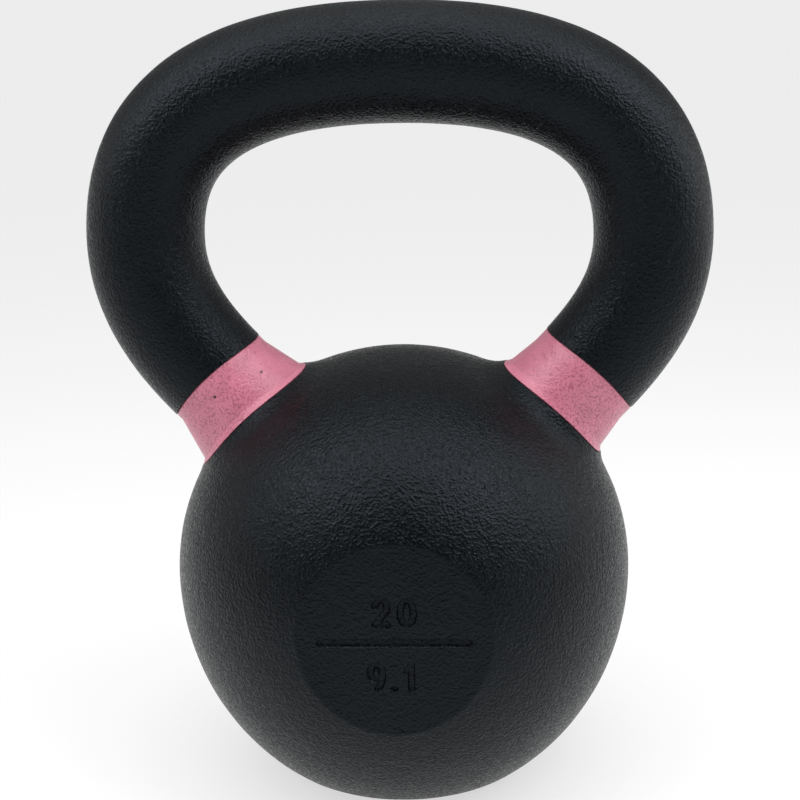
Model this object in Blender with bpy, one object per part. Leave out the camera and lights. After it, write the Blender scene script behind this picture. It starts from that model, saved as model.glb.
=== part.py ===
"""A 9.1 kg (20 lb) cast-iron kettlebell in three solids: the one-piece casting of ball, horns
and handle, and the two painted colour bands that lie in shallow grooves round the horns.

Metres, +Z up. The origin is the middle of the flat base, the handle spans X, and the
marked face looks towards -Y.
"""

import math

import bmesh
import bpy
import numpy as np

MM = 0.001

# ---------------------------------------------------------------- driving dimensions

# The ball is a sphere, stretched below its widest circle and flattened above it.
BALL_RADIUS = 62.7 * MM
BALL_HEIGHT = 56.4 * MM
STRETCH_BELOW = 1.072
STRETCH_ABOVE = 0.972

# A flat round face on the front and on the back, leaning back a little.
FACE_RADIUS = 24.7 * MM
FACE_LEAN = math.radians(1.5)

# The handle is a round bar on two curves a side, from the top to the shoulder and from
# the shoulder to a root inside the ball. A reach is how far a curve keeps its end's heading.
BAR_RADIUS = 15.8 * MM
TOP = (0.0, 194.2 * MM)
TOP_REACH = 33.4 * MM
SHOULDER = (67.9 * MM, 148.1 * MM)
SHOULDER_REACH_UP = 38.5 * MM
SHOULDER_REACH_DOWN = 24.7 * MM
ROOT = (28.2 * MM, 89.1 * MM)
ROOT_REACH = 27.4 * MM
ROOT_ANGLE = math.radians(45.3)

# The cast fillet between the horns and the ball, as the width over which the two blend.
FILLET = 8.5 * MM

# A colour band winds round each horn, square to an axis through this point. Its edges
# climb away from the ball towards the front and the back of the horn.
BAND_POINT = (46.5 * MM, 106.9 * MM)
BAND_ANGLE = math.radians(47.0)
BAND_WIDTH = 15.1 * MM
BAND_CLIMB = 2.5 * MM
BAND_OFFSETS = {"left": -0.9 * MM, "right": 0.9 * MM}
BAND_BELOW_COAT = 0.2 * MM
BAND_THICKNESS = 0.7 * MM
GAP = 0.3 * MM

# The weight numerals and the rule between them are sunk into the front face.
MARK_DEPTH = 0.6 * MM
MARK_STROKE = 1.6 * MM
NUMERAL_HEIGHT = 8.0 * MM
NUMERAL_WIDTH = 5.1 * MM
NUMERAL_PITCH = 6.4 * MM
UPPER_ROW = 6.1 * MM
LOWER_ROW = -10.8 * MM
RULE_ROW = -1.8 * MM
RULE_LENGTH = 37.0 * MM
RULE_STROKE = 1.4 * MM

# Cutters reach this far past the surface that they cut.
OVERREACH = 2.5 * MM

# Mesh fineness: the skin's cell, and how many pieces curves and round shapes are made of.
CELL = 5.7 * MM
CURVE_STEPS = 40
BALL_SEGMENTS = 64
BALL_RINGS = 32
BAR_ROUNDNESS = 6
BAND_SEGMENTS = 40
BAND_ROWS = 5
ARC_STEPS = 8
CAP_TURNS = (-45, 0, 45)

# How the skin is made even: rounds of smoothing, and steps that land a corner on the surface.
SMOOTHING_ROUNDS = 8
LANDING_STEPS = 6
PROBE = 0.01 * MM
HALVINGS = 24

# Corners this near to a middle plane are cut on it, and mirrored ones this near are joined.
SNAP = 0.2 * MM
WELD = 0.05 * MM

SHARP_ANGLE = math.radians(30)

# Each material's colour, roughness and metallic value.
MATERIALS = {
    "black_powder_coat": ((0.014, 0.016, 0.018), 0.45, 0.0),
    "pink_band_paint": ((0.56, 0.20, 0.27), 0.5, 0.0),
}


# ---------------------------------------------------------------- the casting's surface

def bezier(start, start_way, end_way, end, steps):
    """Points on a cubic curve from start to end, leaving and arriving by the two ways."""
    t = np.linspace(0.0, 1.0, steps)[:, None]
    a, d = np.array(start), np.array(end)
    b, c = a + np.array(start_way), d + np.array(end_way)
    return (1 - t) ** 3 * a + 3 * (1 - t) ** 2 * t * b + 3 * (1 - t) * t ** 2 * c + t ** 3 * d


def bar_centreline():
    """The bar's centreline in the XZ plane, from the left root over the top to the right root."""
    upper = bezier(TOP, (TOP_REACH, 0), (0, SHOULDER_REACH_UP), SHOULDER, CURVE_STEPS)
    heading = (ROOT_REACH * math.cos(ROOT_ANGLE), ROOT_REACH * math.sin(ROOT_ANGLE))
    lower = bezier(SHOULDER, (0, -SHOULDER_REACH_DOWN), heading, ROOT, CURVE_STEPS)
    right = np.vstack([upper, lower[1:]])
    left = right[:0:-1] * (-1, 1)
    return np.vstack([left, right])


CENTRELINE = bar_centreline()


def ball_distance(points):
    """How far points lie outside the ball, near enough for a ball this round."""
    x, y, z = points.T
    z = z - BALL_HEIGHT
    z = z / np.where(z < 0, STRETCH_BELOW, STRETCH_ABOVE)
    return np.sqrt(x ** 2 + y ** 2 + z ** 2) - BALL_RADIUS


def bar_distance(points):
    """How far points lie outside the bent bar."""
    start = CENTRELINE[:-1]
    step = np.diff(CENTRELINE, axis=0)
    away = points[:, None, [0, 2]] - start
    along = (away * step).sum(2) / (step ** 2).sum(1)
    away = away - np.clip(along, 0, 1)[..., None] * step
    sideways = (away ** 2).sum(2).min(1)
    return np.sqrt(sideways + points[:, 1] ** 2) - BAR_RADIUS


def casting_distance(points):
    """Ball and bar as one body, with the cast fillet where they meet."""
    ball = ball_distance(points)
    bar = bar_distance(points)
    blend = np.maximum(FILLET - np.abs(ball - bar), 0) / FILLET
    return np.minimum(ball, bar) - blend ** 2 * FILLET / 4


def onto_casting(points):
    """Points moved along the surface's normal until they lie on the casting."""
    for _ in range(LANDING_STEPS):
        here = casting_distance(points)
        slope = np.stack([(casting_distance(points + PROBE * axis) - here) / PROBE
                          for axis in np.eye(3)], axis=1)
        points = points - slope * (here / (slope ** 2).sum(1))[:, None]
    return points


# ---------------------------------------------------------------- mesh helpers

def new_object(name, mesh):
    """An object of this mesh, linked to the scene."""
    thing = bpy.data.objects.new(name, mesh)
    bpy.context.scene.collection.objects.link(thing)
    return thing


def mesh_from(name, points, faces):
    """A mesh of these points and faces, with its faces pointing out."""
    work = bmesh.new()
    corners = [work.verts.new(point) for point in points]
    for face in faces:
        work.faces.new([corners[index] for index in face])
    bmesh.ops.recalc_face_normals(work, faces=work.faces)
    mesh = bpy.data.meshes.new(name)
    work.to_mesh(mesh)
    work.free()
    return mesh


def apply_modifiers(thing):
    """Makes the object's mesh the one that its modifiers give."""
    depsgraph = bpy.context.evaluated_depsgraph_get()
    mesh = bpy.data.meshes.new_from_object(thing.evaluated_get(depsgraph))
    thing.modifiers.clear()
    thing.data = mesh


def cutter(name, mesh):
    """A guide object that other objects are cut with."""
    thing = new_object(name, mesh)
    thing.display_type = "WIRE"
    thing.hide_render = True
    return thing


def cut(thing, tool):
    """Takes the tool's shape away from the object."""
    modifier = thing.modifiers.new(tool.name, "BOOLEAN")
    modifier.operation = "DIFFERENCE"
    modifier.solver = "EXACT"
    modifier.object = tool


def finish(thing, material_name):
    """Gives a solid its material and its shading."""
    colour, roughness, metallic = MATERIALS[material_name]
    material = bpy.data.materials.get(material_name) or bpy.data.materials.new(material_name)
    material.use_nodes = True
    shader = material.node_tree.nodes["Principled BSDF"]
    shader.inputs["Base Color"].default_value = (*colour, 1.0)
    shader.inputs["Roughness"].default_value = roughness
    shader.inputs["Metallic"].default_value = metallic
    thing.data.materials.clear()
    thing.data.materials.append(material)
    thing.data.shade_smooth()
    thing.data.set_sharp_from_angle(angle=SHARP_ANGLE)


# ---------------------------------------------------------------- the casting

def rough_casting():
    """Ball and bar in one even skin of quads, still without the true fillet."""
    work = bmesh.new()
    bmesh.ops.create_uvsphere(work, u_segments=BALL_SEGMENTS, v_segments=BALL_RINGS,
                              radius=BALL_RADIUS)
    for vert in work.verts:
        vert.co.z *= STRETCH_BELOW if vert.co.z < 0 else STRETCH_ABOVE
        vert.co.z += BALL_HEIGHT
    mesh = bpy.data.meshes.new("rough_casting")
    work.to_mesh(mesh)
    work.free()
    ball = new_object("rough_casting", mesh)

    curve = bpy.data.curves.new("rough_bar", "CURVE")
    curve.dimensions = "3D"
    curve.bevel_depth = BAR_RADIUS
    curve.bevel_resolution = BAR_ROUNDNESS
    curve.use_fill_caps = True
    spline = curve.splines.new("POLY")
    spline.points.add(len(CENTRELINE) - 1)
    for point, (x, z) in zip(spline.points, CENTRELINE):
        point.co = (x, 0, z, 1)
    bar = new_object("rough_bar", curve)
    depsgraph = bpy.context.evaluated_depsgraph_get()
    bar_mesh = bpy.data.meshes.new_from_object(bar.evaluated_get(depsgraph))
    bpy.data.objects.remove(bar)

    work = bmesh.new()
    work.from_mesh(ball.data)
    work.from_mesh(bar_mesh)
    work.to_mesh(ball.data)
    work.free()

    remesh = ball.modifiers.new("even_skin", "REMESH")
    remesh.mode = "VOXEL"
    remesh.voxel_size = CELL
    apply_modifiers(ball)
    return ball


def keep_one_quarter(thing):
    """Cuts the mesh down to its +X, +Y quarter, ready to be mirrored."""
    work = bmesh.new()
    work.from_mesh(thing.data)
    for normal in ((1, 0, 0), (0, 1, 0)):
        everything = work.verts[:] + work.edges[:] + work.faces[:]
        bmesh.ops.bisect_plane(work, geom=everything, dist=SNAP, plane_co=(0, 0, 0),
                               plane_no=normal, clear_inner=True, use_snap_center=True)
    work.to_mesh(thing.data)
    work.free()


def fit_to_casting(thing):
    """Evens out the mesh's corners and lays them on the casting's true surface."""
    work = bmesh.new()
    work.from_mesh(thing.data)
    for _ in range(SMOOTHING_ROUNDS):
        bmesh.ops.smooth_vert(work, verts=work.verts, factor=0.5,
                              use_axis_x=True, use_axis_y=True, use_axis_z=True)
        points = onto_casting(np.array([vert.co for vert in work.verts], float))
        for vert, point in zip(work.verts, points):
            vert.co = point
    bmesh.ops.recalc_face_normals(work, faces=work.faces)
    work.to_mesh(thing.data)
    work.free()


def block(name, centre, size):
    """A box-shaped cutter."""
    work = bmesh.new()
    bmesh.ops.create_cube(work, size=1.0)
    bmesh.ops.scale(work, vec=size, verts=work.verts)
    mesh = bpy.data.meshes.new(name)
    work.to_mesh(mesh)
    work.free()
    tool = cutter(name, mesh)
    tool.location = centre
    return tool


def face_distance():
    """How far the flat faces lie from the ball's centre."""
    return math.sqrt(BALL_RADIUS ** 2 - FACE_RADIUS ** 2)


def face_cutters():
    """The slabs that make the flat base and the two flat round faces."""
    slab = 4 * BALL_RADIUS
    tools = [block("base_cutter", (0, 0, -slab / 2), (slab, slab, slab))]
    for name, side in (("front_face_cutter", -1), ("back_face_cutter", 1)):
        reach = face_distance() + slab / 2
        place = (0, side * reach * math.cos(FACE_LEAN), BALL_HEIGHT + reach * math.sin(FACE_LEAN))
        tool = block(name, place, (slab, slab, slab))
        tool.rotation_euler.x = side * FACE_LEAN
        tools.append(tool)
    return tools


def build_casting():
    """The ball, horns and handle as one piece, before its grooves and marks are cut."""
    casting = rough_casting()
    casting.name = "iron_casting"
    keep_one_quarter(casting)
    mirror = casting.modifiers.new("both_sides", "MIRROR")
    mirror.use_axis = (True, True, False)
    mirror.merge_threshold = WELD
    apply_modifiers(casting)
    fit_to_casting(casting)
    for tool in face_cutters():
        cut(casting, tool)
    return casting


# ---------------------------------------------------------------- bands and their grooves

def band_frame(side):
    """The band's middle, its axis up the horn, and the way across it towards the window."""
    mirror = -1 if side == "left" else 1
    axis = np.array([mirror * math.cos(BAND_ANGLE), 0, math.sin(BAND_ANGLE)])
    across = np.array([-mirror * math.sin(BAND_ANGLE), 0, math.cos(BAND_ANGLE)])
    middle = np.array([mirror * BAND_POINT[0], 0, BAND_POINT[1]]) + BAND_OFFSETS[side] * axis
    return middle, axis, across


def horn_ring(side, along, depth):
    """A ring of points round the horn, this deep in the casting and this far up its axis."""
    middle, axis, across = band_frame(side)
    turn = np.linspace(0, 2 * np.pi, BAND_SEGMENTS, endpoint=False)[:, None]
    ray = np.cos(turn) * across + np.sin(turn) * np.array([0.0, 1.0, 0.0])
    foot = middle + (along + BAND_CLIMB * (np.sin(turn) ** 2 - 0.5)) * axis
    near = np.full((BAND_SEGMENTS, 1), BAR_RADIUS / 2)
    far = np.full((BAND_SEGMENTS, 1), BAR_RADIUS * 3)
    for _ in range(HALVINGS):
        half = (near + far) / 2
        inside = casting_distance(foot + ray * half)[:, None] < -depth
        near = np.where(inside, half, near)
        far = np.where(inside, far, half)
    return foot + ray * near


def collar_mesh(name, side, width, inner_depth, outer_depth):
    """A closed collar round the horn, between two depths in the casting."""
    rows = np.linspace(-width / 2, width / 2, BAND_ROWS + 1)
    rings = [horn_ring(side, along, inner_depth) for along in rows]
    rings += [horn_ring(side, along, outer_depth) for along in rows[::-1]]
    count = len(rings)
    faces = []
    for row in range(count):
        for step in range(BAND_SEGMENTS):
            beside = (step + 1) % BAND_SEGMENTS
            above = (row + 1) % count
            faces.append((row * BAND_SEGMENTS + step, row * BAND_SEGMENTS + beside,
                          above * BAND_SEGMENTS + beside, above * BAND_SEGMENTS + step))
    return mesh_from(name, np.vstack(rings), faces)


def build_band(casting, side):
    """One painted band, and the groove in the casting that it fills."""
    inner_depth = BAND_BELOW_COAT + BAND_THICKNESS
    groove = collar_mesh(side + "_groove", side, BAND_WIDTH, inner_depth + GAP, -OVERREACH)
    cut(casting, cutter(side + "_groove_cutter", groove))
    mesh = collar_mesh(side + "_horn_band", side, BAND_WIDTH - 2 * GAP,
                       inner_depth, BAND_BELOW_COAT)
    return new_object(side + "_horn_band", mesh)


# ---------------------------------------------------------------- weight marks

def straight(*corners):
    """A stroke through these corners, in numeral widths and heights from its middle."""
    return np.array(corners, float)


def arc(centre, radius, start, end):
    """A stroke along part of an ellipse, its angles in degrees."""
    turn = np.radians(np.linspace(start, end, ARC_STEPS + 1))
    return np.stack([centre[0] + radius[0] * np.cos(turn), centre[1] + radius[1] * np.sin(turn)], 1)


# Each numeral is a list of strokes in a cell from -0.5 to 0.5 each way.
NUMERALS = {
    "0": [arc((0, 0), (0.5, 0.5), 90, 270), arc((0, 0), (0.5, 0.5), -90, 90)],
    "1": [straight((0.06, -0.5), (0.06, 0.5)), straight((0.06, 0.5), (-0.28, 0.24))],
    "2": [np.vstack([arc((0, 0.2), (0.46, 0.3), 165, -25), [(-0.46, -0.5)]]),
          straight((-0.46, -0.5), (0.5, -0.5))],
    "9": [arc((0, 0.19), (0.46, 0.31), 0, 180), arc((0, 0.19), (0.46, 0.31), 180, 360),
          arc((-0.04, 0.1), (0.5, 0.6), 10, -75)],
    ".": [straight((-0.02, -0.5), (0.02, -0.5))],
}
LINES = (("20", UPPER_ROW, (-0.5, 0.5)), ("9.1", LOWER_ROW, (-0.72, -0.02, 0.62)))


def stroke_outline(path, width):
    """The outline of a stroke with round ends, as points on the flat face."""
    way = np.gradient(path, axis=0)
    way /= np.linalg.norm(way, axis=1)[:, None]
    side = np.stack([-way[:, 1], way[:, 0]], axis=1) * width / 2
    caps = []
    for end, heading in ((path[-1], way[-1]), (path[0], -way[0])):
        turn = np.radians(CAP_TURNS)[:, None]
        left = np.array([-heading[1], heading[0]])
        caps.append(end + (np.cos(turn) * heading + np.sin(turn) * left) * width / 2)
    return np.vstack([path - side, caps[0], (path + side)[::-1], caps[1]])


def mark_cutter(name, path, width):
    """A prism on the stroke's outline that cuts it into the front face."""
    outline = stroke_outline(path, width)
    count = len(outline)
    level = face_distance()
    points = [(x, -depth, z) for depth in (level - MARK_DEPTH, level + OVERREACH) for x, z in outline]
    faces = [tuple(range(count)), tuple(range(2 * count - 1, count - 1, -1))]
    faces += [(i, (i + 1) % count, count + (i + 1) % count, count + i) for i in range(count)]
    tool = cutter(name, mesh_from(name, points, faces))
    tool.location.z = BALL_HEIGHT
    tool.rotation_euler.x = -FACE_LEAN
    return tool


def cut_marks(casting):
    """Sinks the numerals and the rule into the front face."""
    rule = straight((-RULE_LENGTH / 2, RULE_ROW), (RULE_LENGTH / 2, RULE_ROW))
    tools = [mark_cutter("rule_mark", rule, RULE_STROKE)]
    inner_size = (NUMERAL_WIDTH - MARK_STROKE, NUMERAL_HEIGHT - MARK_STROKE)
    for text, row, places in LINES:
        for character, place in zip(text, places):
            for path in NUMERALS[character]:
                moved = path * inner_size + (place * NUMERAL_PITCH, row)
                tools.append(mark_cutter("mark_%02d" % len(tools), moved, MARK_STROKE))
    for tool in tools:
        cut(casting, tool)


# ---------------------------------------------------------------- assembly

def main():
    """Builds the three solids."""
    for thing in list(bpy.data.objects):
        bpy.data.objects.remove(thing)
    casting = build_casting()
    bands = [build_band(casting, side) for side in ("left", "right")]
    cut_marks(casting)
    finish(casting, "black_powder_coat")
    for band in bands:
        finish(band, "pink_band_paint")


main()
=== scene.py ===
"""The looks of the kettlebell: a fine casting with its powder coat, engraved numerals and the
two painted colour bands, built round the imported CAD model.

Metres, in the CAD model's frame: the base's middle at the origin, the marked face towards -Y.
"""

import math

import bmesh
import bpy
import numpy as np
from mathutils import Matrix, Vector, noise


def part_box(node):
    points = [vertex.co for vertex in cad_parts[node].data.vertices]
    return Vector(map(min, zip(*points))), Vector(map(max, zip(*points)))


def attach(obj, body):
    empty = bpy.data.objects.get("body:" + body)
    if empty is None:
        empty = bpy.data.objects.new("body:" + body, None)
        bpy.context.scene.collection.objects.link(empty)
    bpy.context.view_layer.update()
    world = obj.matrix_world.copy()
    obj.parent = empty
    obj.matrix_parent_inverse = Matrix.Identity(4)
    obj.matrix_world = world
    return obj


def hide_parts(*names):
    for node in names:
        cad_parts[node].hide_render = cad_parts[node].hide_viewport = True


MM = 0.001

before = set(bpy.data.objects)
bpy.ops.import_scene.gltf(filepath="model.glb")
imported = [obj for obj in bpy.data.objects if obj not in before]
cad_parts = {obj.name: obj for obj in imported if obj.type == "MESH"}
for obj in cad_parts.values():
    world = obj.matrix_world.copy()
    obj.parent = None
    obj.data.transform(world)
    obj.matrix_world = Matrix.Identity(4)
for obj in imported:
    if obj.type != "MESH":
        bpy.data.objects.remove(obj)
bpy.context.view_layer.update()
CASTING_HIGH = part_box("iron_casting")[1]

# ---------------------------------------------------------------- the casting's dimensions

BAR_RADIUS = 15.8 * MM
BALL_RADIUS = 62.7 * MM
BALL_HEIGHT = 56.4 * MM
STRETCH_BELOW = 1.072
STRETCH_ABOVE = 0.972
FACE_RADIUS = 24.7 * MM
FACE_LEAN = math.radians(1.5)
FACE_DISTANCE = math.sqrt(BALL_RADIUS ** 2 - FACE_RADIUS ** 2)

TOP = (0.0, CASTING_HIGH.z - BAR_RADIUS)
TOP_REACH = 33.4 * MM
SHOULDER = (CASTING_HIGH.x - BAR_RADIUS, 148.1 * MM)
SHOULDER_REACH_UP = 38.5 * MM
SHOULDER_REACH_DOWN = 24.7 * MM
ROOT = (28.2 * MM, 89.1 * MM)
ROOT_REACH = 27.4 * MM
ROOT_ANGLE = math.radians(45.3)
FILLET = 8.5 * MM

FACE_EDGE_ROUND = 0.12 * MM
BASE_EDGE_ROUND = 2.0 * MM

BAND_POINT = (46.5 * MM, 106.9 * MM)
BAND_ANGLE = math.radians(47.0)
BAND_WIDTH = 15.1 * MM
BAND_CLIMB = 2.5 * MM
BAND_OFFSETS = {"left": -0.9 * MM, "right": 0.9 * MM}

# ---------------------------------------------------------------- mesh fineness

CELL = 2.7 * MM
CURVE_STEPS = 60
CHUNK = 8000
ROUGH_SEGMENTS = 96
ROUGH_RINGS = 48
ROUGH_BAR_ROUNDNESS = 12
SMOOTHING_ROUNDS = 8
LANDING_STEPS = 3
RAY_STEPS = 9
SNAP = 0.2 * MM
WELD = 0.05 * MM

# How near to a feature the mesh is halved, once for each reach.
CREASE_REACHES = (2.6 * MM, 1.1 * MM)
BAND_EDGE_REACH = 1.4 * MM
MARK_REACHES = (2.8 * MM, 1.1 * MM, 0.6 * MM)

# Near a flat face's edge, how fast a point on one surface leaves the other.
CREASE_SLOPE = 0.42

CASTING_SHARP_ANGLE = math.radians(40)
BAND_SHARP_ANGLE = math.radians(50)


# ---------------------------------------------------------------- the casting's surface

def bezier(start, start_way, end_way, end, steps):
    """Points on a cubic curve from start to end, leaving and arriving by the two ways."""
    t = np.linspace(0.0, 1.0, steps)[:, None]
    a, d = np.array(start), np.array(end)
    b, c = a + np.array(start_way), d + np.array(end_way)
    return (1 - t) ** 3 * a + 3 * (1 - t) ** 2 * t * b + 3 * (1 - t) * t ** 2 * c + t ** 3 * d


def bar_centreline():
    """The bar's centreline in the XZ plane, from the left root over the top to the right root."""
    upper = bezier(TOP, (TOP_REACH, 0), (0, SHOULDER_REACH_UP), SHOULDER, CURVE_STEPS)
    heading = (ROOT_REACH * math.cos(ROOT_ANGLE), ROOT_REACH * math.sin(ROOT_ANGLE))
    lower = bezier(SHOULDER, (0, -SHOULDER_REACH_DOWN), heading, ROOT, CURVE_STEPS)
    right = np.vstack([upper, lower[1:]])
    left = right[:0:-1] * (-1, 1)
    return np.vstack([left, right])


CENTRELINE = bar_centreline()


def unit(vectors):
    """The vectors at length one."""
    return vectors / np.linalg.norm(vectors, axis=1)[:, None]


def bar_foot(points):
    """The nearest point on the bar's centreline to each point."""
    start = CENTRELINE[:-1]
    step = np.diff(CENTRELINE, axis=0)
    feet = []
    for begin in range(0, len(points), CHUNK):
        flat = points[begin:begin + CHUNK, None, [0, 2]] - start
        along = np.clip((flat * step).sum(2) / (step ** 2).sum(1), 0, 1)
        away = ((flat - along[..., None] * step) ** 2).sum(2)
        best = away.argmin(1)
        rows = np.arange(len(best))
        foot = start[best] + along[rows, best][:, None] * step[best]
        feet.append(np.stack([foot[:, 0], np.zeros(len(best)), foot[:, 1]], axis=1))
    return np.vstack(feet)


def ball_surface(points):
    """Distance outside the ball, and the way out of it."""
    stretch = np.where(points[:, 2] < BALL_HEIGHT, STRETCH_BELOW, STRETCH_ABOVE)
    scaled = (points - (0, 0, BALL_HEIGHT)) / np.stack([np.ones_like(stretch)] * 2 + [stretch], 1)
    reach = np.linalg.norm(scaled, axis=1)
    slope = scaled / reach[:, None]
    slope[:, 2] /= stretch
    return reach - BALL_RADIUS, slope


def blend(first, second, width, sign):
    """Two surfaces as one with a rounded join: sign 1 keeps what is in either, -1 in both."""
    (a, slope_a), (b, slope_b) = first, second
    mix = np.clip(0.5 + sign * 0.5 * (b - a) / width, 0, 1)
    bulge = np.maximum(width - np.abs(a - b), 0) / width
    level = np.minimum(a, b) if sign > 0 else np.maximum(a, b)
    level = level - sign * bulge ** 2 * width / 4
    return level, slope_a * mix[:, None] + slope_b * (1 - mix)[:, None]


def plane_surface(points, normal, distance, origin=(0, 0, 0)):
    """Distance outside a flat face, and the way out of it."""
    normal = np.array(normal, float)
    return (points - origin) @ normal - distance, np.tile(normal, (len(points), 1))


def face_surface(points, side):
    """Distance outside the flat face in front (side -1) or at the back (side 1)."""
    normal = (0, side * math.cos(FACE_LEAN), math.sin(FACE_LEAN))
    return plane_surface(points, normal, FACE_DISTANCE, (0, 0, BALL_HEIGHT))


def base_surface(points):
    """Distance outside the flat base."""
    return plane_surface(points, (0, 0, -1), 0.0)


def casting_surface(points):
    """Distance outside the casting and the way out, before the bands' steps and the marks."""
    foot = bar_foot(points)
    away = points - foot
    reach = np.linalg.norm(away, axis=1)
    bar = (reach - BAR_RADIUS, away / reach[:, None])
    body = blend(ball_surface(points), bar, FILLET, 1)
    for side in (-1, 1):
        body = blend(body, face_surface(points, side), FACE_EDGE_ROUND, -1)
    return blend(body, base_surface(points), BASE_EDGE_ROUND, -1)


def outward(points):
    """The way straight out of the casting at each point."""
    return unit(casting_surface(points)[1])


def onto_casting(points):
    """Points moved along the surface's normal until they lie on the casting."""
    for _ in range(LANDING_STEPS):
        here, slope = casting_surface(points)
        points = points - slope * (here / (slope ** 2).sum(1))[:, None]
    return points


# ---------------------------------------------------------------- mesh helpers

def new_object(name, data):
    """An object of this mesh, curve, light or camera, linked to the scene."""
    thing = bpy.data.objects.new(name, data)
    bpy.context.scene.collection.objects.link(thing)
    return thing


def mesh_from(name, points, faces):
    """A mesh of these points and faces, with its faces pointing out."""
    mesh = bpy.data.meshes.new(name)
    mesh.from_pydata([tuple(point) for point in points], [], faces)
    work = bmesh.new()
    work.from_mesh(mesh)
    bmesh.ops.recalc_face_normals(work, faces=work.faces)
    work.to_mesh(mesh)
    work.free()
    return mesh


def get_points(mesh):
    """The mesh's corners as an array."""
    flat = np.empty(len(mesh.vertices) * 3, np.float32)
    mesh.vertices.foreach_get("co", flat)
    return flat.reshape(-1, 3).astype(float)


def set_points(mesh, points):
    """Moves the mesh's corners to these points."""
    mesh.vertices.foreach_set("co", points.astype(np.float32).ravel())
    mesh.update()


def apply_modifiers(thing):
    """Makes the object's mesh the one that its modifiers give."""
    depsgraph = bpy.context.evaluated_depsgraph_get()
    mesh = bpy.data.meshes.new_from_object(thing.evaluated_get(depsgraph))
    thing.modifiers.clear()
    thing.data = mesh


def cut_away(thing, mesh):
    """Takes the mesh's shape away from the object."""
    tool = new_object("cutter", mesh)
    modifier = thing.modifiers.new("cut", "BOOLEAN")
    modifier.operation = "DIFFERENCE"
    modifier.solver = "EXACT"
    modifier.object = tool
    apply_modifiers(thing)
    bpy.data.objects.remove(tool)


def smooth_step(values, low, high):
    """0 below low, 1 above high, and a smooth ramp between them."""
    t = np.clip((values - low) / (high - low), 0, 1)
    return t * t * (3 - 2 * t)


# ---------------------------------------------------------------- bands: where they run

BAND_SEGMENTS = 400
GROOVE_DEPTH = 0.8 * MM
GROOVE_ROWS = 24
GROOVE_OVERREACH = 1.5 * MM

# The search outwards from a horn's centreline for its surface.
FIRST_REACH = 1.1 * BAR_RADIUS
LEAST_REACH = 0.6 * BAR_RADIUS
MOST_REACH = 2.6 * BAR_RADIUS
LEAST_SLOPE = 0.3


def band_frame(side):
    """The band's middle, its axis up the horn, and the way across it towards the window."""
    mirror = -1 if side == "left" else 1
    axis = np.array([mirror * math.cos(BAND_ANGLE), 0, math.sin(BAND_ANGLE)])
    across = np.array([-mirror * math.sin(BAND_ANGLE), 0, math.cos(BAND_ANGLE)])
    middle = np.array([mirror * BAND_POINT[0], 0, BAND_POINT[1]]) + BAND_OFFSETS[side] * axis
    return middle, axis, across


def band_place(points, side):
    """Where points lie on a band: how far up the horn from its middle line, and the turn
    round the horn in radians, from the window side towards the back."""
    middle, axis, across = band_frame(side)
    turn = np.arctan2(points[:, 1], (points - middle) @ across)
    along = (points - middle) @ axis - BAND_CLIMB * (np.sin(turn) ** 2 - 0.5)
    return along, turn


def horn_points(side, along, turn, depth):
    """Points on the horn at these places round a band and at this depth in the casting."""
    middle, axis, across = band_frame(side)
    cosine, sine = np.cos(turn)[:, None], np.sin(turn)[:, None]
    ray = cosine * across + sine * np.array([0.0, 1.0, 0.0])
    foot = middle + (along[:, None] + BAND_CLIMB * (sine ** 2 - 0.5)) * axis
    reach = np.full(len(turn), FIRST_REACH)
    for _ in range(RAY_STEPS):
        level, slope = casting_surface(foot + ray * reach[:, None])
        step = (level + depth) / np.maximum((slope * ray).sum(1), LEAST_SLOPE)
        reach = np.clip(reach - step, LEAST_REACH, MOST_REACH)
    return foot + ray * reach[:, None]


def collar_mesh(name, side, rows, inner_depth, outer_depths, segments):
    """A closed collar round the horn, with an even inside and a shaped outside."""
    turn = np.linspace(0, 2 * np.pi, segments, endpoint=False)
    rings = [horn_points(side, np.full(segments, along), turn, inner_depth)
             for along in rows[[0, -1]]]
    rings += [horn_points(side, np.full(segments, along), turn, depth)
              for along, depth in zip(rows[::-1], outer_depths[::-1])]
    count = len(rings)
    faces = []
    for row in range(count):
        for step in range(segments):
            beside = (step + 1) % segments
            above = (row + 1) % count
            faces.append((row * segments + step, row * segments + beside,
                          above * segments + beside, above * segments + step))
    return mesh_from(name, np.vstack(rings), faces)


# ---------------------------------------------------------------- weight marks

# A little deeper and broader than the CAD model's, so that they show through the grain.
MARK_DEPTH = 0.8 * MM
MARK_STROKE = 1.8 * MM
MARK_WALL = 0.34 * MM
MARK_LIP = 0.1 * MM
NUMERAL_HEIGHT = 8.0 * MM
NUMERAL_WIDTH = 5.1 * MM
NUMERAL_PITCH = 6.4 * MM
UPPER_ROW = 6.1 * MM
LOWER_ROW = -10.8 * MM
RULE_ROW = -1.8 * MM
RULE_LENGTH = 37.0 * MM
RULE_STROKE = 1.9 * MM
ARC_STEPS = 24
FAR_AWAY = 1.0


def straight(*corners):
    """A stroke through these corners, in numeral widths and heights from its middle."""
    return np.array(corners, float)


def arc(centre, radius, start, end):
    """A stroke along part of an ellipse, its angles in degrees."""
    turn = np.radians(np.linspace(start, end, ARC_STEPS + 1))
    return np.stack([centre[0] + radius[0] * np.cos(turn), centre[1] + radius[1] * np.sin(turn)], 1)


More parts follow.
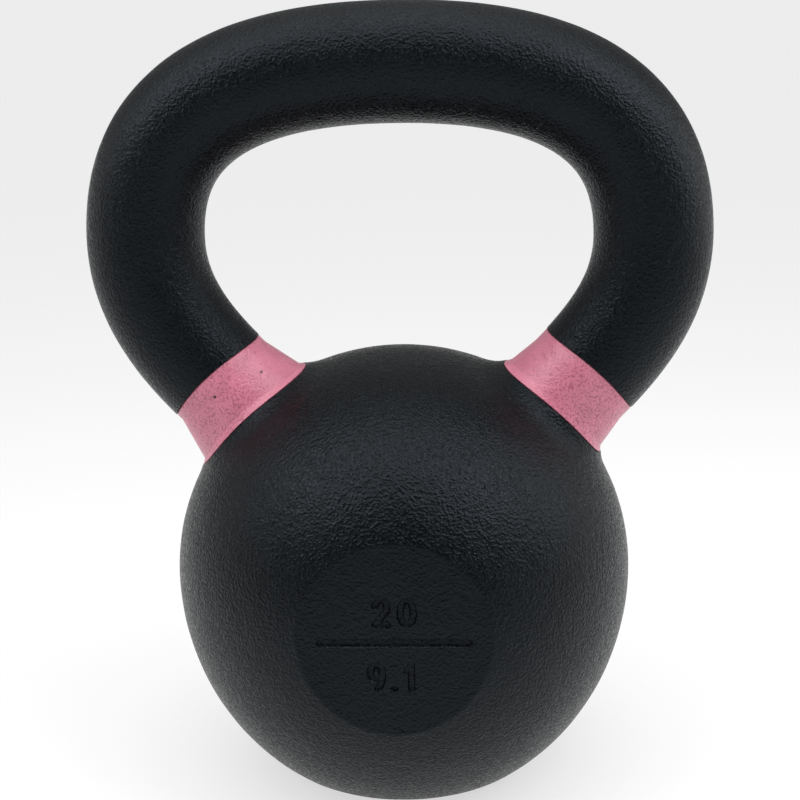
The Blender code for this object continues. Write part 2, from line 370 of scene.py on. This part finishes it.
# Each numeral is a list of strokes in a cell from -0.5 to 0.5 each way.
NUMERALS = {
    "0": [arc((0, 0), (0.5, 0.5), 0, 360)],
    "1": [straight((0.06, -0.5), (0.06, 0.5)), straight((0.06, 0.5), (-0.28, 0.24))],
    "2": [np.vstack([arc((0, 0.2), (0.46, 0.3), 165, -25), [(-0.46, -0.5)]]),
          straight((-0.46, -0.5), (0.5, -0.5))],
    "9": [arc((0, 0.19), (0.46, 0.31), 0, 360), arc((-0.04, 0.1), (0.5, 0.6), 10, -75)],
    ".": [straight((-0.02, -0.5), (0.02, -0.5))],
}
LINES = (("20", UPPER_ROW, (-0.5, 0.5)), ("9.1", LOWER_ROW, (-0.72, -0.02, 0.62)))


def mark_strokes():
    """Every stroke on the front face, as its path and its width."""
    strokes = [(straight((-RULE_LENGTH / 2, RULE_ROW), (RULE_LENGTH / 2, RULE_ROW)), RULE_STROKE)]
    inner_size = (NUMERAL_WIDTH - MARK_STROKE, NUMERAL_HEIGHT - MARK_STROKE)
    for text, row, places in LINES:
        for character, place in zip(text, places):
            for path in NUMERALS[character]:
                strokes.append((path * inner_size + (place * NUMERAL_PITCH, row), MARK_STROKE))
    return strokes


def face_place(points):
    """Where points lie on the front face, from the foot of the ball's centre: across and up."""
    up = np.array([0.0, math.sin(FACE_LEAN), math.cos(FACE_LEAN)])
    return np.stack([points[:, 0], (points - (0, 0, BALL_HEIGHT)) @ up], axis=1)


def outside_strokes(points):
    """How far points on the front side lie outside the edge of the nearest stroke."""
    flat = face_place(points)
    nearest = np.full(len(points), FAR_AWAY)
    for path, width in mark_strokes():
        start, step = path[:-1], np.diff(path, axis=0)
        away = flat[:, None, :] - start
        along = np.clip((away * step).sum(2) / (step ** 2).sum(1), 0, 1)
        away = np.linalg.norm(away - along[..., None] * step, axis=2).min(1)
        nearest = np.minimum(nearest, away - width / 2)
    return np.where(points[:, 1] < 0, nearest, FAR_AWAY)


# ---------------------------------------------------------------- the fine casting

def flatten(work, place, normal):
    """Lays whatever is past a plane onto the plane."""
    for vert in work.verts:
        past = (vert.co - place).dot(normal)
        if past > 0:
            vert.co -= normal * past


def rough_casting():
    """Ball and bar in one even skin of quads, still without the true fillet."""
    work = bmesh.new()
    bmesh.ops.create_uvsphere(work, u_segments=ROUGH_SEGMENTS, v_segments=ROUGH_RINGS,
                              radius=BALL_RADIUS)
    for vert in work.verts:
        vert.co.z *= STRETCH_BELOW if vert.co.z < 0 else STRETCH_ABOVE
        vert.co.z += BALL_HEIGHT
    for side in (-1, 1):
        normal = Vector((0, side * math.cos(FACE_LEAN), math.sin(FACE_LEAN)))
        place = Vector((0, 0, BALL_HEIGHT)) + normal * FACE_DISTANCE
        flatten(work, place, normal)
    flatten(work, Vector((0, 0, 0)), Vector((0, 0, -1)))
    ball = bpy.data.meshes.new("rough_casting")
    work.to_mesh(ball)
    work.free()

    curve = bpy.data.curves.new("rough_bar", "CURVE")
    curve.dimensions = "3D"
    curve.bevel_depth = BAR_RADIUS
    curve.bevel_resolution = ROUGH_BAR_ROUNDNESS
    curve.use_fill_caps = True
    spline = curve.splines.new("POLY")
    spline.points.add(len(CENTRELINE) - 1)
    for point, (x, z) in zip(spline.points, CENTRELINE):
        point.co = (x, 0, z, 1)
    bar = new_object("rough_bar", curve)
    depsgraph = bpy.context.evaluated_depsgraph_get()
    bar_mesh = bpy.data.meshes.new_from_object(bar.evaluated_get(depsgraph))
    bpy.data.objects.remove(bar)

    work = bmesh.new()
    work.from_mesh(ball)
    work.from_mesh(bar_mesh)
    work.to_mesh(ball)
    work.free()
    thing = new_object("cast_body", ball)
    remesh = thing.modifiers.new("even_skin", "REMESH")
    remesh.mode = "VOXEL"
    remesh.voxel_size = CELL
    apply_modifiers(thing)
    return thing


def make_symmetric(thing):
    """Keeps the +X, +Y quarter of the mesh and mirrors it both ways."""
    work = bmesh.new()
    work.from_mesh(thing.data)
    for normal in ((1, 0, 0), (0, 1, 0)):
        everything = work.verts[:] + work.edges[:] + work.faces[:]
        bmesh.ops.bisect_plane(work, geom=everything, dist=SNAP, plane_co=(0, 0, 0),
                               plane_no=normal, clear_inner=True, use_snap_center=True)
    work.to_mesh(thing.data)
    work.free()
    mirror = thing.modifiers.new("both_sides", "MIRROR")
    mirror.use_axis = (True, True, False)
    mirror.merge_threshold = WELD
    apply_modifiers(thing)


def relax(thing):
    """Evens out the mesh's corners and lays them on the casting's true surface."""
    for _ in range(SMOOTHING_ROUNDS):
        work = bmesh.new()
        work.from_mesh(thing.data)
        bmesh.ops.smooth_vert(work, verts=work.verts, factor=0.5,
                              use_axis_x=True, use_axis_y=True, use_axis_z=True)
        work.to_mesh(thing.data)
        work.free()
        set_points(thing.data, onto_casting(get_points(thing.data)))


def refine(thing, wanted):
    """Halves the edges that lie wholly where wanted says so, and lays them on the surface."""
    points = get_points(thing.data)
    inside = wanted(points)
    work = bmesh.new()
    work.from_mesh(thing.data)
    edges = [edge for edge in work.edges if all(inside[vert.index] for vert in edge.verts)]
    bmesh.ops.subdivide_edges(work, edges=edges, cuts=1, use_grid_fill=True)
    work.to_mesh(thing.data)
    work.free()
    set_points(thing.data, onto_casting(get_points(thing.data)))


def near_creases(reach):
    """A test for points this near to the edge of a flat face or of the base."""
    def wanted(points):
        ball = np.abs(ball_surface(points)[0])
        flats = [face_surface(points, -1), face_surface(points, 1), base_surface(points)]
        flat = np.min([np.abs(level) for level, _ in flats], axis=0)
        return ball + flat < reach * CREASE_SLOPE
    return wanted


def near_band_edges(points):
    """Which points lie near the edge of a colour band."""
    found = np.zeros(len(points), bool)
    for side, mirror in (("left", -1), ("right", 1)):
        along, _ = band_place(points, side)
        on_horn = (mirror * points[:, 0] > 0) & (points[:, 2] > BALL_HEIGHT)
        found |= on_horn & (np.abs(np.abs(along) - BAND_WIDTH / 2) < BAND_EDGE_REACH)
    return found


def near_marks(reach):
    """A test for points near a mark's edge."""
    def wanted(points):
        return np.abs(outside_strokes(points)) < reach
    return wanted


# ---------------------------------------------------------------- the cast skin's unevenness

CAST_WAVES = ((11.0 * MM, 0.045 * MM), (4.5 * MM, 0.022 * MM))
CAST_WAVE_SINK = 0.06 * MM

# The waves fade out between these heights, so that the base stays flat.
WAVES_FROM = 0.1 * MM
WAVES_FULL = 1.5 * MM


def cast_waves(points):
    """How far the sand mould's unevenness lifts the surface at these points."""
    lift = np.full(len(points), -CAST_WAVE_SINK)
    for length, height in CAST_WAVES:
        scaled = points / length
        lift += height * np.array([noise.noise(Vector(place)) for place in scaled])
    return lift


def sink_marks(points):
    """How deep the marks lie at these points."""
    outside = outside_strokes(points)
    return MARK_DEPTH * (1 - smooth_step(outside, -MARK_WALL, MARK_LIP))


def build_casting():
    """The casting's fine skin, with its grooves for the bands and its sunken marks."""
    casting = rough_casting()
    make_symmetric(casting)
    relax(casting)
    refine(casting, lambda points: np.ones(len(points), bool))
    for reach in CREASE_REACHES:
        refine(casting, near_creases(reach))
    refine(casting, near_band_edges)
    for reach in MARK_REACHES:
        refine(casting, near_marks(reach))
    for side in ("left", "right"):
        rows = np.linspace(-BAND_WIDTH / 2, BAND_WIDTH / 2, GROOVE_ROWS)
        outside = np.full(len(rows), -GROOVE_OVERREACH)
        cut_away(casting, collar_mesh("groove", side, rows, GROOVE_DEPTH, outside, BAND_SEGMENTS))
    points = get_points(casting.data)
    fade = smooth_step(points[:, 2], WAVES_FROM, WAVES_FULL)
    lift = cast_waves(points) * fade - sink_marks(points)
    set_points(casting.data, points + outward(points) * lift[:, None])
    casting.data.shade_smooth()
    casting.data.set_sharp_from_angle(angle=CASTING_SHARP_ANGLE)
    return casting


# ---------------------------------------------------------------- the fine bands

BAND_ROWS = 60
BAND_BELOW_COAT = 0.15 * MM
BAND_SEAT = 0.04 * MM
EDGE_DIP = 0.28 * MM
EDGE_DIP_REACH = 0.17 * MM
EDGE_BEAD = 0.04 * MM
EDGE_BEAD_PLACE = 0.42 * MM
EDGE_BEAD_REACH = 0.14 * MM

# Pinholes in the casting under the paint: up the horn, round the horn, radius and depth.
PITS = {"left": ((-0.5 * MM, math.radians(-42), 0.80 * MM, 0.42 * MM),
                 (2.3 * MM, math.radians(-92), 0.50 * MM, 0.25 * MM)),
        "right": ((-2.8 * MM, math.radians(-142), 0.40 * MM, 0.25 * MM),)}
PIT_FLOOR = 0.35
# How the pinholes are darkened as painted shade: from which share of the radius, to which share,
# and how strongly.
PIT_SHADE_FROM = 0.95
PIT_SHADE_FULL = 0.75
PIT_SHADE_STRENGTH = 0.95
SLACK = 0.02 * MM


def band_depths(from_edge):
    """How far a band's outside lies below the black coat: dipped at its edges, then a bead."""
    dip = EDGE_DIP * np.exp(-(from_edge / EDGE_DIP_REACH) ** 2)
    bead = EDGE_BEAD * np.exp(-((from_edge - EDGE_BEAD_PLACE) / EDGE_BEAD_REACH) ** 2)
    return BAND_BELOW_COAT + dip - bead


def pit_centre(side, along, turn):
    """The middle of a pinhole's mouth."""
    return horn_points(side, np.array([along]), np.array([turn]), BAND_BELOW_COAT)[0]


def pit_depths(points, side):
    """How deep the pinholes are at these points of a band's outside."""
    outside = casting_surface(points)[0] > -(BAND_BELOW_COAT + EDGE_DIP + SLACK)
    depth = np.zeros(len(points))
    for along, turn, radius, deepest in PITS[side]:
        centre = pit_centre(side, along, turn)
        away = np.linalg.norm(points - centre, axis=1)
        depth += outside * deepest * (1 - smooth_step(away, PIT_FLOOR * radius, radius))
    return depth


def build_band(side):
    """One painted band: a thin shell in its groove, a little below the black coat."""
    half = BAND_WIDTH / 2 - BAND_SEAT
    rows = np.linspace(-half, half, BAND_ROWS)
    mesh = collar_mesh(side + "_band_paint", side, rows, GROOVE_DEPTH - BAND_SEAT,
                       band_depths(half - np.abs(rows)), BAND_SEGMENTS)
    points = get_points(mesh)
    lift = cast_waves(points) - pit_depths(points, side)
    set_points(mesh, points + outward(points) * lift[:, None])
    band = new_object(side + "_band_paint", mesh)
    mesh.shade_smooth()
    mesh.set_sharp_from_angle(angle=BAND_SHARP_ANGLE)
    return band


# ---------------------------------------------------------------- materials

WHITE = (1.0, 1.0, 1.0, 1.0)

# The noise levels at which a finish has its darker and its lighter tone.
DARK_STOP, LIGHT_STOP = 0.3, 0.7

DARK_COAT = (0.0016, 0.0020, 0.0024)
LIGHT_COAT = (0.0028, 0.0034, 0.0040)
COAT_SHINE = (0.76, 0.88, 1.0, 1.0)
COAT_SHINE_LEVEL = 0.18
COAT_TONE_SIZE = 9 * MM
COAT_SWELL_SIZE = 2.6 * MM
COAT_SWELL_HEIGHT = 0.18 * MM
COAT_FINE_SIZE = 0.5 * MM
COAT_FINE_HEIGHT = 0.09 * MM

# The leathery grain: its hollows, at the low noise level, are rougher than its tops.
GRAIN_SIZE = 0.75 * MM
GRAIN_HEIGHT = 0.36 * MM
GRAIN_LEVELS = (0.35, 0.65)
GRAIN_ROUGHNESS = (0.47, 0.21)

PINHOLE_SPACING = 3.5 * MM
PINHOLE_SIZE = 0.6 * MM
PINHOLE_SHARE = 0.2
PINHOLE_DEPTH = 0.20 * MM
SPECK_EDGE = 0.02

DARK_PINK = (0.58, 0.175, 0.25)
LIGHT_PINK = (0.68, 0.215, 0.305)
# The dark specks' colour: partly the cast skin showing through, partly painted shade.
SPECK_SHADE_PINK = (0.24, 0.04, 0.07)
# The colour painted in the pinholes: the shadow in each hole, with its dark floor.
PIT_SHADE_COLOUR = (0.03, 0.01, 0.012)
PINK_ROUGHNESS = 0.33
PINK_SHINE_LEVEL = 0.6
PINK_TONE_SIZE = 5 * MM
PINK_SWELL_SIZE = 2.2 * MM
PINK_SWELL_HEIGHT = 0.15 * MM

# The dark specks in the pink, partly the cast skin showing through and partly painted shade:
# how dark they get between two noise levels, and the share of that which stays from where the
# horn faces sideways, away from the overhead light, to where it faces up towards it.
SKIN_SIZE = 0.6 * MM
SKIN_DEPTH = 0.22 * MM
SPECK_LEVELS = (0.50, 0.64)
SPECK_STRENGTH = 0.6
SPECK_SHADE_FACING = (0.15, 0.65)
SPECK_SHADE_SHARES = (1.0, 0.25)

FLOOR_GREY = (0.35, 0.35, 0.35, 1.0)
FLOOR_ROUGHNESS = 0.8
FLOOR_GLOW = 0.64


def new_material(name):
    """A node material, its nodes and its Principled shader."""
    material = bpy.data.materials.new(name)
    material.use_nodes = True
    nodes = material.node_tree.nodes
    return material, nodes, material.node_tree.links, nodes["Principled BSDF"]


def noise_node(nodes, links, place, size, detail):
    """Noise whose blobs are about this many metres across, with this many finer layers."""
    node = nodes.new("ShaderNodeTexNoise")
    node.inputs["Scale"].default_value = 1 / size
    node.inputs["Detail"].default_value = detail
    links.new(place, node.inputs["Vector"])
    return node.outputs["Fac"]


def ramp_node(nodes, links, value, stops):
    """A colour ramp over the value: stops are (position, colour)."""
    node = nodes.new("ShaderNodeValToRGB")
    ramp = node.color_ramp
    while len(ramp.elements) < len(stops):
        ramp.elements.new(0.5)
    for element, (position, colour) in zip(ramp.elements, stops):
        element.position = position
        element.color = (*colour, 1.0)
    links.new(value, node.inputs["Fac"])
    return node.outputs["Color"]


def range_node(nodes, links, value, low, high, to_low, to_high):
    """The value's range from low to high, stretched to another range."""
    node = nodes.new("ShaderNodeMapRange")
    node.inputs["From Min"].default_value = low
    node.inputs["From Max"].default_value = high
    node.inputs["To Min"].default_value = to_low
    node.inputs["To Max"].default_value = to_high
    links.new(value, node.inputs["Value"])
    return node.outputs["Result"]


def bump_node(nodes, links, height, distance, before=None):
    """Bumps of this height in metres, over any bumps that came before."""
    node = nodes.new("ShaderNodeBump")
    node.inputs["Strength"].default_value = 1.0
    node.inputs["Distance"].default_value = distance
    links.new(height, node.inputs["Height"])
    if before is not None:
        links.new(before, node.inputs["Normal"])
    return node.outputs["Normal"]


def math_node(nodes, links, operation, first, second):
    """The two values put together by this operation."""
    node = nodes.new("ShaderNodeMath")
    node.operation = operation
    links.new(first, node.inputs[0])
    links.new(second, node.inputs[1])
    return node.outputs[0]


def speck_node(nodes, links, place, spacing, size, share):
    """1 inside scattered round specks and 0 outside: this share of all cells has one."""
    node = nodes.new("ShaderNodeTexVoronoi")
    node.inputs["Scale"].default_value = 1 / spacing
    links.new(place, node.inputs["Vector"])
    near = range_node(nodes, links, node.outputs["Distance"], 0.5 * size / spacing,
                      0.25 * size / spacing, 0.0, 1.0)
    split = nodes.new("ShaderNodeSeparateColor")
    links.new(node.outputs["Color"], split.inputs["Color"])
    chosen = range_node(nodes, links, split.outputs["Red"], share, share - SPECK_EDGE,
                        0.0, 1.0)
    return math_node(nodes, links, "MULTIPLY", near, chosen)


# The Mix node's sockets for its share and its two colours, which share their names with others.
MIX_SHARE, MIX_FIRST, MIX_SECOND, MIX_RESULT = 0, 6, 7, 2


def mix_node(nodes, links, share, first, second):
    """The first colour where the share is 0, and a plain second one where it is 1."""
    node = nodes.new("ShaderNodeMix")
    node.data_type = "RGBA"
    links.new(share, node.inputs[MIX_SHARE])
    links.new(first, node.inputs[MIX_FIRST])
    node.inputs[MIX_SECOND].default_value = (*second, 1.0)
    return node.outputs[MIX_RESULT]


def powder_coat():
    """Black powder coat over a cast skin: satin, with a leathery grain and a few pinholes."""
    material, nodes, links, shader = new_material("black_powder_coat")
    place = nodes.new("ShaderNodeTexCoord").outputs["Object"]
    tone = noise_node(nodes, links, place, COAT_TONE_SIZE, 3.0)
    colour = ramp_node(nodes, links, tone, ((DARK_STOP, DARK_COAT), (LIGHT_STOP, LIGHT_COAT)))
    links.new(colour, shader.inputs["Base Color"])
    grain = noise_node(nodes, links, place, GRAIN_SIZE, 1.5)
    rough = range_node(nodes, links, grain, *GRAIN_LEVELS, *GRAIN_ROUGHNESS)
    links.new(rough, shader.inputs["Roughness"])
    shader.inputs["Specular IOR Level"].default_value = COAT_SHINE_LEVEL
    shader.inputs["Specular Tint"].default_value = COAT_SHINE
    swell = noise_node(nodes, links, place, COAT_SWELL_SIZE, 1.0)
    fine = noise_node(nodes, links, place, COAT_FINE_SIZE, 1.0)
    pinholes = speck_node(nodes, links, place, PINHOLE_SPACING, PINHOLE_SIZE, PINHOLE_SHARE)
    bumps = bump_node(nodes, links, swell, COAT_SWELL_HEIGHT)
    bumps = bump_node(nodes, links, grain, GRAIN_HEIGHT, bumps)
    bumps = bump_node(nodes, links, fine, COAT_FINE_HEIGHT, bumps)
    bumps = bump_node(nodes, links, pinholes, -PINHOLE_DEPTH, bumps)
    links.new(bumps, shader.inputs["Normal"])
    return material


def band_paint():
    """Dusty pink paint over the same cast skin, speckled where the skin shows through. The specks
    are also painted shade: strong where the horn faces sideways and down, away from the overhead
    light, and faint where it faces up."""
    material, nodes, links, shader = new_material("pink_band_paint")
    place = nodes.new("ShaderNodeTexCoord").outputs["Object"]
    facing = nodes.new("ShaderNodeSeparateXYZ")
    links.new(nodes.new("ShaderNodeNewGeometry").outputs["Normal"], facing.inputs["Vector"])
    # Painted shade: the dark specks are kept strong where the horn faces sideways and down, and
    # weakened where it faces up to the overhead light.
    speck_shade_share = range_node(nodes, links, facing.outputs["Z"], *SPECK_SHADE_FACING, *SPECK_SHADE_SHARES)
    tone = noise_node(nodes, links, place, PINK_TONE_SIZE, 3.0)
    colour = ramp_node(nodes, links, tone, ((DARK_STOP, DARK_PINK), (LIGHT_STOP, LIGHT_PINK)))
    skin = noise_node(nodes, links, place, SKIN_SIZE, 2.0)
    specks = range_node(nodes, links, skin, *SPECK_LEVELS, 0.0, SPECK_STRENGTH)
    specks_and_shade = math_node(nodes, links, "MULTIPLY", specks, speck_shade_share)
    colour = mix_node(nodes, links, specks_and_shade, colour, SPECK_SHADE_PINK)
    # Painted shade: each pinhole darkened towards its middle, for the shadow in the hole and its
    # dark floor.
    for side, pits in PITS.items():
        for along, turn, radius, _ in pits:
            far = nodes.new("ShaderNodeVectorMath")
            far.operation = "DISTANCE"
            links.new(place, far.inputs[0])
            far.inputs[1].default_value = pit_centre(side, along, turn)
            pit_shade = range_node(nodes, links, far.outputs["Value"], PIT_SHADE_FROM * radius,
                              PIT_SHADE_FULL * radius, 0.0, PIT_SHADE_STRENGTH)
            colour = mix_node(nodes, links, pit_shade, colour, PIT_SHADE_COLOUR)
    links.new(colour, shader.inputs["Base Color"])
    shader.inputs["Roughness"].default_value = PINK_ROUGHNESS
    shader.inputs["Specular IOR Level"].default_value = PINK_SHINE_LEVEL
    swell = noise_node(nodes, links, place, PINK_SWELL_SIZE, 1.0)
    bumps = bump_node(nodes, links, swell, PINK_SWELL_HEIGHT)
    bumps = bump_node(nodes, links, skin, -SKIN_DEPTH, bumps)
    links.new(bumps, shader.inputs["Normal"])
    return material


def floor_finish():
    """A plain pale studio floor, lit a little from below like a light table."""
    material, nodes, links, shader = new_material("studio_floor")
    shader.inputs["Base Color"].default_value = FLOOR_GREY
    shader.inputs["Roughness"].default_value = FLOOR_ROUGHNESS
    shader.inputs["Specular IOR Level"].default_value = 0.0
    shader.inputs["Emission Color"].default_value = WHITE
    shader.inputs["Emission Strength"].default_value = FLOOR_GLOW
    return material


# ---------------------------------------------------------------- camera, lights and floor

CAMERA_TARGET = Vector((-0.25, 0.0, 103.2)) * MM
CAMERA_DISTANCE = 442.4 * MM
CAMERA_AZIMUTH = math.radians(2.8)
CAMERA_ELEVATION = math.radians(14.81)
CAMERA_ROLL = math.radians(-1.09)
SENSOR = 36.0
FRAME_PER_DISTANCE = 0.4963


def add_camera():
    """The camera at the photograph's viewing angle."""
    data = bpy.data.cameras.new("camera")
    data.sensor_width = SENSOR
    data.lens = SENSOR / FRAME_PER_DISTANCE
    camera = new_object("camera", data)
    back = Vector((math.sin(CAMERA_AZIMUTH) * math.cos(CAMERA_ELEVATION),
                   -math.cos(CAMERA_AZIMUTH) * math.cos(CAMERA_ELEVATION),
                   math.sin(CAMERA_ELEVATION)))
    camera.location = CAMERA_TARGET + back * CAMERA_DISTANCE
    turn = back.to_track_quat("Z", "Y").to_matrix().to_4x4()
    camera.rotation_euler = (turn @ Matrix.Rotation(CAMERA_ROLL, 4, "Z")).to_euler()
    bpy.context.scene.camera = camera


# Each softbox: its place, the point it faces, its width and height in metres, and how bright
# its face is, where 1 is a pure white.
SOFTBOXES = {
    "overhead": ((0.0, -0.13, 0.50), (0, -0.02, 0.1), (0.34, 0.30), 1.5),
    "front_right": ((0.30, -0.15, 0.42), (0, 0, 0.12), (0.26, 0.30), 4.4),
    "front_left": ((-0.30, -0.15, 0.42), (0, 0, 0.12), (0.26, 0.30), 4.0),
    "right": ((0.42, 0.04, 0.24), (0, 0, 0.12), (0.30, 0.22), 1.9),
    "left": ((-0.42, 0.02, 0.24), (0, 0, 0.12), (0.30, 0.22), 0.6),
}


def add_softbox(name, place, target, size, brightness):
    """A rectangular area light that faces a point."""
    data = bpy.data.lights.new(name, "AREA")
    data.shape = "RECTANGLE"
    data.size, data.size_y = size
    data.energy = brightness * math.pi * size[0] * size[1]
    light = new_object(name, data)
    light.location = place
    light.rotation_euler = (Vector(place) - Vector(target)).to_track_quat("Z", "Y").to_euler()
    light.visible_camera = False


# How bright the background is, which is how bright the floor looks far away.
BACKGROUND = 0.85

# How bright the tent is straight up, what share of that its roof has from the horizon (0) to
# straight up (1), and what share of the roof's its open front has, in the ways that face there.
TENT_TOP = 2.2
TENT_ROOF = ((0.0, 0.13), (0.55, 0.15), (0.78, 0.2), (0.93, 0.65), (1.0, 1.0))
TENT_FRONT = 0.1
TENT_OPENING = (-0.8, 0.0)


def add_world():
    """A pale tent round the object, brightest overhead and open in front."""
    world = bpy.data.worlds.new("studio")
    bpy.context.scene.world = world
    world.use_nodes = True
    nodes, links = world.node_tree.nodes, world.node_tree.links
    background = nodes["Background"]
    split = nodes.new("ShaderNodeSeparateXYZ")
    links.new(nodes.new("ShaderNodeTexCoord").outputs["Generated"], split.inputs["Vector"])
    roof = ramp_node(nodes, links, split.outputs["Z"],
                     [(height, (level, level, level)) for height, level in TENT_ROOF])
    walls = range_node(nodes, links, split.outputs["Y"], *TENT_OPENING,
                       TENT_FRONT * TENT_TOP, TENT_TOP)
    rays = nodes.new("ShaderNodeLightPath")
    choose = nodes.new("ShaderNodeMix")
    choose.data_type = "FLOAT"
    links.new(rays.outputs["Is Camera Ray"], choose.inputs["Factor"])
    links.new(math_node(nodes, links, "MULTIPLY", roof, walls), choose.inputs["A"])
    choose.inputs["B"].default_value = BACKGROUND
    links.new(choose.outputs["Result"], background.inputs["Strength"])
    background.inputs["Color"].default_value = WHITE


FLOOR_REACH = 60.0
FLOOR_GAP = 0.2 * MM


def add_floor():
    """A wide floor under the base."""
    reach = FLOOR_REACH
    corners = [(-reach, -reach, 0), (reach, -reach, 0), (reach, reach, 0), (-reach, reach, 0)]
    mesh = bpy.data.meshes.new("floor")
    mesh.from_pydata(corners, [], [(0, 1, 2, 3)])
    floor = new_object("floor", mesh)
    floor.location.z = -FLOOR_GAP
    mesh.materials.append(floor_finish())


# ---------------------------------------------------------------- the scene

def dress(piece, material, slot, *nodes):
    """Gives a piece its material and its place in the frame."""
    piece.data.materials.clear()
    piece.data.materials.append(material)
    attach(piece, "root")
    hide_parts(*nodes)


add_camera()
add_world()
add_floor()
for box_name, box in SOFTBOXES.items():
    add_softbox(box_name, *box)

dress(build_casting(), powder_coat(), "black_powder_coat", "iron_casting")
pink = band_paint()
for band_side in ("left", "right"):
    dress(build_band(band_side), pink, "pink_band_paint", band_side + "_horn_band")

bpy.context.scene.view_settings.view_transform = "Standard"
